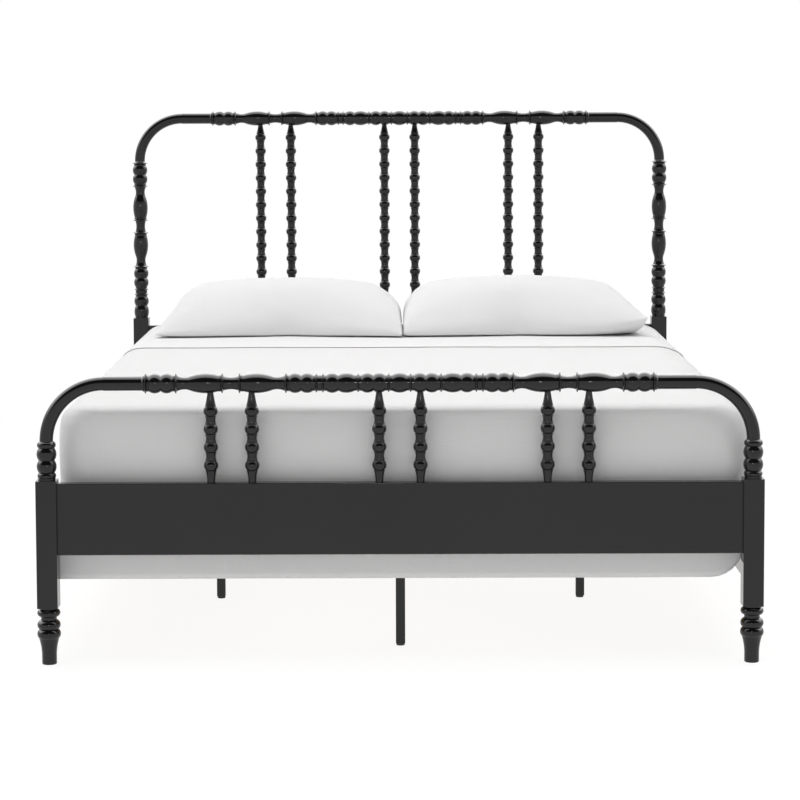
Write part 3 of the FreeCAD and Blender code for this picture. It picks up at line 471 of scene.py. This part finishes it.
def foot_profile(hem):
    """From the flat top over the foot edge to the hem: how far outside the front plane, and how high."""
    turn = TOP_EDGE * 0.32
    return smooth_line([
        (-CORNER, COVER_TOP, 0), (-TOP_EDGE - 0.014, COVER_TOP - 0.0004, 0), (-turn, COVER_TOP - turn, 0),
        (-0.0024, COVER_TOP - TOP_EDGE, 0), (-0.0005, COVER_TOP - 0.05, 0), (0, COVER_TOP - 0.09, 0),
        (-0.0012, PANEL_HIGH.z, 0), (-0.002, PANEL_LOW.z, 0), (-0.001, hem, 0),
    ], PROFILE_STEPS)


def cloth_waves(point):
    """How far the cloth stands out at a point: slow waves on top, longer upright ones down the sides."""
    down = eased((COVER_TOP - point.z) / 0.12)
    top = 0.0011 * ripple(point, (0.34, 0.42, 0.5), 3.1) + 0.0004 * ripple(point, (0.11, 0.16, 0.3), 7.7)
    side = 0.0026 * ripple(point, (0.20, 0.20, 0.55), 5.3) + 0.0009 * ripple(point, (0.07, 0.07, 0.22), 1.9)
    return top * (1 - down) + side * down


def hem_height(x):
    """The foot drop's hem: level, and swept up at its right end."""
    into = (x - (HEM_END - HEM_SWEEP)) / HEM_SWEEP
    if into <= 0:
        return COVER_LOW.z
    return COVER_LOW.z + HEM_SWEEP * (1 - math.sqrt(max(0.0, 1 - min(1.0, into) ** 2)))


def cover_rim():
    """Round the coverlet from the head end down the left side, across the foot and up the right side.
    Each place is (centre, outward direction, share of the way from side to foot, bulge)."""
    ys = spread(COVER_BACK, COVER_FRONT + CORNER, CELL)
    xs = spread(-INNER_HALF, INNER_HALF, CELL)
    turn = [math.radians(a) for a in range(0, 91, 6)]
    rim = [(Vector((-INNER_HALF, y, 0)), Vector((-1, 0, 0)), 0.0, BULGE_LEFT) for y in ys[:-1]]
    rim += [(Vector((-INNER_HALF, ys[-1], 0)), Vector((-math.cos(a), -math.sin(a), 0)), a / turn[-1],
             BULGE_LEFT) for a in turn]
    rim += [(Vector((x, ys[-1], 0)), Vector((0, -1, 0)), 1.0, 0.0) for x in xs[1:-1]]
    rim += [(Vector((INNER_HALF, ys[-1], 0)), Vector((math.cos(a), -math.sin(a), 0)), a / turn[-1],
             BULGE_RIGHT) for a in turn[::-1]]
    rim += [(Vector((INNER_HALF, y, 0)), Vector((1, 0, 0)), 0.0, BULGE_RIGHT) for y in ys[-2::-1]]
    return rim, xs, ys


def corner_radius(z):
    """The plan radius of the foot corners at this height."""
    low, high = CORNER_TURNS
    return LOW_CORNER + (CORNER - LOW_CORNER) * eased((z - low) / (high - low))


def build_coverlet():
    """One cloth over the mattress, tucked in down both sides, with a drop inside the foot panel."""
    rim, xs, ys = cover_rim()
    profiles = {}
    points = []
    for centre, out, share, bulge in rim:
        sideways = profiles.setdefault(bulge, side_profile(bulge))
        across = math.copysign(eased(1 - (INNER_HALF - abs(centre.x)) / CORNER_PULL), centre.x)
        along = eased(1 - (centre.y - COVER_FRONT - CORNER) / CORNER_PULL)
        low_x = centre.x + across * (CORNER - LOW_CORNER + TUCK_OFFSET) + out.x * LOW_CORNER
        footward = foot_profile(hem_height(low_x))
        # Round a corner the side's profile passes into the foot's, sooner where the corner is sharp.
        for s, f in zip(sideways, footward):
            radius = corner_radius(s.y + (f.y - s.y) * eased(share))
            turned = 1 - (radius - LOW_CORNER) / (CORNER - LOW_CORNER)
            z = s.y + (f.y - s.y) * eased(share * (1 + 2 * turned))
            inward = min(0, s.x) + (min(0, f.x) - min(0, s.x)) * eased(share)
            pulled = Vector((across * (CORNER - radius + max(0, s.x)), -along * (CORNER - radius), z))
            points.append(centre + pulled + out * (radius + inward))
    columns = PROFILE_STEPS + 1
    faces = quads(len(rim), columns)
    start = len(points)
    points += [Vector((x, y, COVER_TOP)) for y in ys for x in xs]
    faces += [tuple(start + i for i in face) for face in quads(len(ys), len(xs))]
    cloth = mesh_object("coverlet_cloth", points, faces, LINEN)
    welded(cloth)
    lift_outwards(cloth, cloth_waves)
    return applied(cloth, "SOLIDIFY", "thickness", thickness=CLOTH, offset=-1.0)


def lift_outwards(cloth, amount):
    """Moves each point along the side of its surface that faces away from the mattress's lower middle."""
    mesh = cloth.data
    moves = []
    for vertex in mesh.vertices:
        out = vertex.normal.copy()
        away = Vector((vertex.co.x, vertex.co.y, 0)) * 0.3 + Vector((0, 0, vertex.co.z - SLAT_TOP))
        if out.dot(away) < 0:
            out.negate()
        moves.append(out * amount(vertex.co))
    for vertex, move in zip(mesh.vertices, moves):
        vertex.co += move
    mesh.update()


def build_turned_sheet():
    """The top sheet turned down over the head of the coverlet, with a rolled edge where it folds."""
    left, right = ([p for p in side_profile(bulge) if p.y >= SHEET_LOW.z]
                   for bulge in (BULGE_LEFT, BULGE_RIGHT))
    across = [Vector((-(MATTRESS_HALF + p.x), 0, p.y)) for p in left[::-1]]
    across += [Vector((x, 0, COVER_TOP)) for x in spread(-INNER_HALF, INNER_HALF, CELL)[1:-1]]
    across += [Vector((MATTRESS_HALF + p.x, 0, p.y)) for p in right]
    hem = SHEET_LOW.y
    # From under the fold, round it and back over the top: where along the bed, and how far lifted.
    along = [(hem + 0.010, 0.0003), (hem + 0.004, 0.0001), (hem + 0.001, 0.0006), (hem, SHEET_LIFT * 0.5),
             (hem + 0.001, SHEET_LIFT), (hem + 0.005, SHEET_LIFT + 0.0006), (hem + 0.015, SHEET_LIFT)]
    along += [(y, SHEET_LIFT) for y in spread(hem + 0.028, COVER_BACK - 0.001, CELL)]
    points = []
    for y, lift in along:
        for i, p in enumerate(across):
            before, after = across[max(0, i - 1)], across[min(len(across) - 1, i + 1)]
            run = (after - before).normalized()
            out = Vector((-run.z, 0, run.x))
            stray = ripple(Vector((p.x, 0, p.z)), (0.55, 1, 1), 2.2)
            wander = FOLD_WANDER * stray * eased(1 - (y - hem) / 0.15)
            place = Vector((p.x, y + wander, p.z))
            points.append(place + out * (lift + SHEET_CLOTH + cloth_waves(place)))
    cloth = mesh_object("turned_sheet_cloth", points, quads(len(along), len(across)), COTTON)
    welded(cloth)
    return applied(cloth, "SOLIDIFY", "thickness", thickness=SHEET_CLOTH, offset=0.0)


coverlet = build_coverlet()
turned_sheet = build_turned_sheet()
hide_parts("coverlet")
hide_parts("turned_sheet")
for piece in (coverlet, turned_sheet):
    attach(piece, "bedding")


# ---------------------------------------------------------------- pillows

PILLOW_CELLS = (72, 46)
PILLOW_FRAMES = 36
PILLOW_PRESSURE = 5.0
PILLOW_APART = 0.045                # how far the flat case's layers stand from the seam's plane
PILLOW_ALLOWANCE = (0.10, 0.085)    # how much longer and deeper the flat case is than the plump pillow
PILLOW_GAP = 0.0015                 # room between the two pillows
PILLOW_SQUEEZE = 0.042              # how much of a pillow's length is pressed in where they meet
PILLOW_SOFT = 0.010                 # how softly that end turns into its flat
PILLOW_FREE = 0.30                  # further than this from that flat nothing is pressed in
PILLOW_SEAM = 0.030                 # height over the sheet of the plane between the layers
PILLOW_UNDERSIDE = 0.085            # how far the underside would hang below that plane
PILLOW_RESTS = 0.00005              # how softly the underside is flattened on the sheet, in square metres
PILLOW_RISES = {"pillow_left": 0.007, "pillow_right": 0.012}        # how far the crowns stand over the boxes
RIGHT_LIFTS = {(1, -1): 0.050, (1, 1): 0.02}        # how far the right pillow's outer corners are lifted


def pillow_start(name, length, depth):
    """Two layers of cloth sewn together all round, a little apart in the middle."""
    columns, rows = PILLOW_CELLS
    points, faces, index = [], [], {}
    for layer in (1, -1):
        for j in range(rows + 1):
            for i in range(columns + 1):
                u, v = 2 * i / columns - 1, 2 * j / rows - 1
                on_rim = i in (0, columns) or j in (0, rows)
                key = (i, j, 0 if on_rim else layer)
                if key not in index:
                    index[key] = len(points)
                    rise = PILLOW_APART * (1 - u ** 4) * (1 - v ** 4)
                    points.append((u * length / 2, v * depth / 2, layer * rise))
        for j in range(rows):
            for i in range(columns):
                corners = [(i, j), (i + 1, j), (i + 1, j + 1), (i, j + 1)]
                ring = [index.get((a, b, layer), index.get((a, b, 0))) for a, b in corners]
                faces.append(ring if layer > 0 else ring[::-1])
    return mesh_object(name, points, faces, PILLOWCASE)


def inflate(obj, pressure, frames):
    """Blows the cloth up in a short Cloth simulation and keeps the result in the mesh."""
    cloth = obj.modifiers.new("inflate", "CLOTH")
    settings = cloth.settings
    settings.quality = 6
    settings.mass = 0.2
    settings.tension_stiffness = 25
    settings.compression_stiffness = 20
    settings.shear_stiffness = 8
    settings.bending_stiffness = 0.6
    settings.use_pressure = True
    settings.uniform_pressure_force = pressure
    settings.effector_weights.gravity = 0
    cloth.collision_settings.use_collision = False
    cloth.point_cache.frame_start = 1
    cloth.point_cache.frame_end = frames
    for number in range(1, frames + 1):
        scene.frame_set(number)
    graph = bpy.context.evaluated_depsgraph_get()
    settled = [v.co.copy() for v in obj.evaluated_get(graph).data.vertices]
    obj.modifiers.remove(cloth)
    for vertex, place in zip(obj.data.vertices, settled):
        vertex.co = place
    obj.data.update()
    scene.frame_set(1)


def build_pillow(name, node, inner_side, corner_lifts, seed):
    """A soft pillow in a plain case. inner_side is the end that is pressed against the other pillow, and
    corner_lifts says how far its corners stand off the sheet."""
    low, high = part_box(node)
    length, depth, height = high - low
    height += PILLOW_RISES[node]
    obj = pillow_start(name, length + PILLOW_ALLOWANCE[0], depth + PILLOW_ALLOWANCE[1])
    inflate(obj, PILLOW_PRESSURE, PILLOW_FRAMES)
    applied(obj, "SMOOTH", "ironed", factor=0.6, iterations=45)
    coordinates = [v.co.copy() for v in obj.data.vertices]
    least = Vector([min(c[k] for c in coordinates) for k in range(3)])
    most = Vector([max(c[k] for c in coordinates) for k in range(3)])
    wall = high.x - PILLOW_GAP / 2 if inner_side > 0 else low.x + PILLOW_GAP / 2
    outer = low.x if inner_side > 0 else high.x
    for vertex in obj.data.vertices:
        u, v, w = (2 * (vertex.co[k] - least[k]) / (most[k] - least[k]) - 1 for k in range(3))
        lift = sum(amount * max(0.0, (1 + su * u) / 2) ** 5 * max(0.0, (1 + sv * v) / 2) ** 4
                   for (su, sv), amount in corner_lifts.items())
        seam = PILLOW_SEAM * (1 - 0.75 * max(abs(u), abs(v)) ** 6) + lift
        rise = (height - PILLOW_SEAM) * w * (1 - abs(v) ** 2.4) ** 0.4 if w > 0 else PILLOW_UNDERSIDE * w
        z = seam + rise
        z = 0.5 * (z + math.sqrt(z * z + PILLOW_RESTS))
        x = outer + inner_side * (1 + inner_side * u) / 2 * (length + PILLOW_SQUEEZE)
        inside = inner_side * (wall - x)
        if inside <= PILLOW_FREE:
            inside = PILLOW_SOFT * math.log1p(math.exp(inside / PILLOW_SOFT))
        x = wall - inner_side * inside
        y = (low.y + high.y) / 2 + v * depth / 2
        vertex.co = (x, y, low.z + z)
    obj.data.update()
    lift_pillow_creases(obj, low, high, inner_side, seed)
    return applied(obj, "SUBSURF", "smooth", levels=1, render_levels=1)


def lift_pillow_creases(obj, low, high, inner_side, seed):
    """Slow dents over the pillow, and short creases that fan out from its pressed end."""
    wall = high.x if inner_side > 0 else low.x
    normals = [v.normal.copy() for v in obj.data.vertices]
    for vertex, normal in zip(obj.data.vertices, normals):
        p = vertex.co
        near = eased(1 - abs(p.x - wall) / 0.16)
        dent = 0.0035 * ripple(p, (0.20, 0.16, 0.14), seed) + 0.0010 * ripple(p, (0.06, 0.05, 0.05), seed + 4)
        crease = 0.0030 * near * ripple(p, (0.11, 0.035, 0.030), seed + 9)
        if p.z > low.z + 0.004:
            vertex.co = p + normal * (dent + crease)
    obj.data.update()


pillows = {
    "pillow_left": build_pillow("pillow_left_soft", "pillow_left", 1, {}, 1.3),
    "pillow_right": build_pillow("pillow_right_soft", "pillow_right", -1, RIGHT_LIFTS, 6.8),
}
for node, pillow in pillows.items():
    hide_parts(node)
    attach(pillow, node)


# ---------------------------------------------------------------- floor, light and camera

WHITE = (1, 1, 1, 1)
FLOOR_HALF = 40.0
FLOOR_LIGHTS = (0.45, 0.60)         # the floor as a light on the bed: its grey, and how strongly it glows
FLOOR_SHOWS = (0.18, 0.88)          # the same where the camera and reflections see it
FLOOR_FADES = (1.6, 3.6)            # distances from the bed's middle over which it turns plain white
SOFT_FRONT, SOFT_BACK = 0.12, 0.80          # the room's light low in front, and from the sides and behind
SOFT_TOWARDS = (-0.60, 1.0, 0.50)           # the way in which it grows brighter
SOFT_RANGE = (-0.9, 0.3)                    # how far along that way it starts and stops growing
ROOM_DARK, ROOM_BRIGHT = 0.05, 4.20         # what reflections see above the front, and overhead and behind
LOW_WHITE = (0.20, 0.42)            # heights of a reflected direction in which low white turns dark
BEHIND = (-0.34, -0.02)             # its Y from where the room is no longer dark to where it is bright
HIGH_UP = (0.10, 0.50)              # heights in which the brightness grows to its whole
HIGH_UP_LEAST = 0.25                # the share of the brightness below them


def build_floor():
    """A plain white floor. The camera and reflections see it nearly white, with the bed's soft shadow, and
    quite white further out."""
    material = bpy.data.materials.new("floor_white")
    corners = [(-FLOOR_HALF, -FLOOR_HALF, 0), (FLOOR_HALF, -FLOOR_HALF, 0),
               (FLOOR_HALF, FLOOR_HALF, 0), (-FLOOR_HALF, FLOOR_HALF, 0)]
    floor = mesh_object("floor", corners, [(0, 1, 2, 3)], material, smooth=False)
    tree = NodeTree(material)
    tree.nodes.clear()

    def surface(grey, glow):
        lit = tree.new("ShaderNodeBsdfDiffuse", Color=(grey, grey, grey, 1))
        return tree.added(lit, tree.new("ShaderNodeEmission", Color=WHITE, Strength=glow))

    distance = tree.new("ShaderNodeVectorMath")
    distance.operation = "LENGTH"
    tree.link(tree.new("ShaderNodeTexCoord").outputs["Object"], distance.inputs[0])
    far = tree.ranged(distance.outputs["Value"], *FLOOR_FADES, 0.0, 1.0)
    plain = tree.new("ShaderNodeEmission", Color=WHITE, Strength=1.0)
    shown = tree.mixed(far, surface(*FLOOR_SHOWS), plain)
    path = tree.new("ShaderNodeLightPath").outputs
    seen = tree.maths("MAXIMUM", path["Is Camera Ray"], path["Is Glossy Ray"])
    seen = tree.maths("MAXIMUM", seen, path["Is Transmission Ray"])
    out = tree.new("ShaderNodeOutputMaterial")
    tree.link(tree.mixed(seen, surface(*FLOOR_LIGHTS), shown).outputs[0], out.inputs["Surface"])


def build_world():
    """White behind everything. As light it is soft and dim; reflections see white low down, a dark room above
    the front and a bright one overhead and behind."""
    world = bpy.data.worlds.new("studio")
    scene.world = world
    tree = NodeTree(world)
    tree.nodes.clear()
    direction = tree.new("ShaderNodeTexCoord").outputs["Generated"]
    split = tree.new("ShaderNodeSeparateXYZ")
    tree.link(direction, split.inputs[0])
    towards = tree.new("ShaderNodeVectorMath")
    towards.operation = "DOT_PRODUCT"
    towards.inputs[1].default_value = SOFT_TOWARDS
    tree.link(direction, towards.inputs[0])
    soft, mirrored, plain = (tree.new("ShaderNodeBackground", Color=WHITE, Strength=1.0) for _ in range(3))
    softness = tree.ranged(towards.outputs["Value"], *SOFT_RANGE, SOFT_FRONT, SOFT_BACK)
    tree.link(softness, soft.inputs["Strength"])
    low_white = tree.ranged(split.outputs["Z"], *LOW_WHITE, 1.0, ROOM_DARK)
    behind = tree.ranged(split.outputs["Y"], *BEHIND, 0.0, ROOM_BRIGHT)
    high_up = tree.ranged(split.outputs["Z"], *HIGH_UP, HIGH_UP_LEAST, 1.0)
    overhead = tree.maths("MULTIPLY", behind, high_up)
    tree.link(tree.maths("MAXIMUM", low_white, overhead), mirrored.inputs["Strength"])
    path = tree.new("ShaderNodeLightPath").outputs
    seen = tree.maths("MAXIMUM", path["Is Camera Ray"], path["Is Transmission Ray"])
    reflected = tree.mixed(path["Is Glossy Ray"], soft, mirrored)
    out = tree.new("ShaderNodeOutputWorld")
    tree.link(tree.mixed(seen, reflected, plain).outputs[0], out.inputs["Surface"])


def area_light(name, place, target, size, power, mirrored=False):
    """A lamp that the camera doesn't see, and that reflections see only if it is mirrored."""
    light = bpy.data.lights.new(name, "AREA")
    light.shape = "RECTANGLE"
    light.size, light.size_y = size
    light.energy = power
    obj = bpy.data.objects.new(name, light)
    scene.collection.objects.link(obj)
    obj.location = place
    obj.rotation_euler = (Vector(target) - Vector(place)).to_track_quat("-Z", "Y").to_euler()
    obj.visible_camera = False
    obj.visible_glossy = mirrored


build_floor()
build_world()
area_light("overhead", place=(0.0, -0.3, 3.4), target=(0, 0, 0), size=(4.6, 4.0), power=68)
area_light("front_glint", place=(-0.1, -6.2, 1.75), target=(0, 0, 0.6), size=(0.35, 0.35), power=12,
           mirrored=True)

# The camera, as fitted to the posts, rails, spindles and legs in the photograph.
CAMERA_PLACE = (0.0050, -6.6421, 1.2895)
CAMERA_PITCH, CAMERA_ROLL, CAMERA_YAW = 4.783, -0.190, 0.037     # degrees
CAMERA_LENS = 111.95
CAMERA_SHIFT = -0.12
camera = bpy.data.objects.new("camera", bpy.data.cameras.new("camera"))
scene.collection.objects.link(camera)
camera.matrix_world = (Matrix.Translation(CAMERA_PLACE) @ Matrix.Rotation(math.radians(CAMERA_YAW), 4, "Z")
                       @ Matrix.Rotation(math.radians(90 - CAMERA_PITCH), 4, "X")
                       @ Matrix.Rotation(math.radians(CAMERA_ROLL), 4, "Z"))
camera.data.sensor_width = 36.0
camera.data.lens = CAMERA_LENS
camera.data.shift_y = CAMERA_SHIFT
scene.camera = camera
scene.view_settings.view_transform = "Standard"
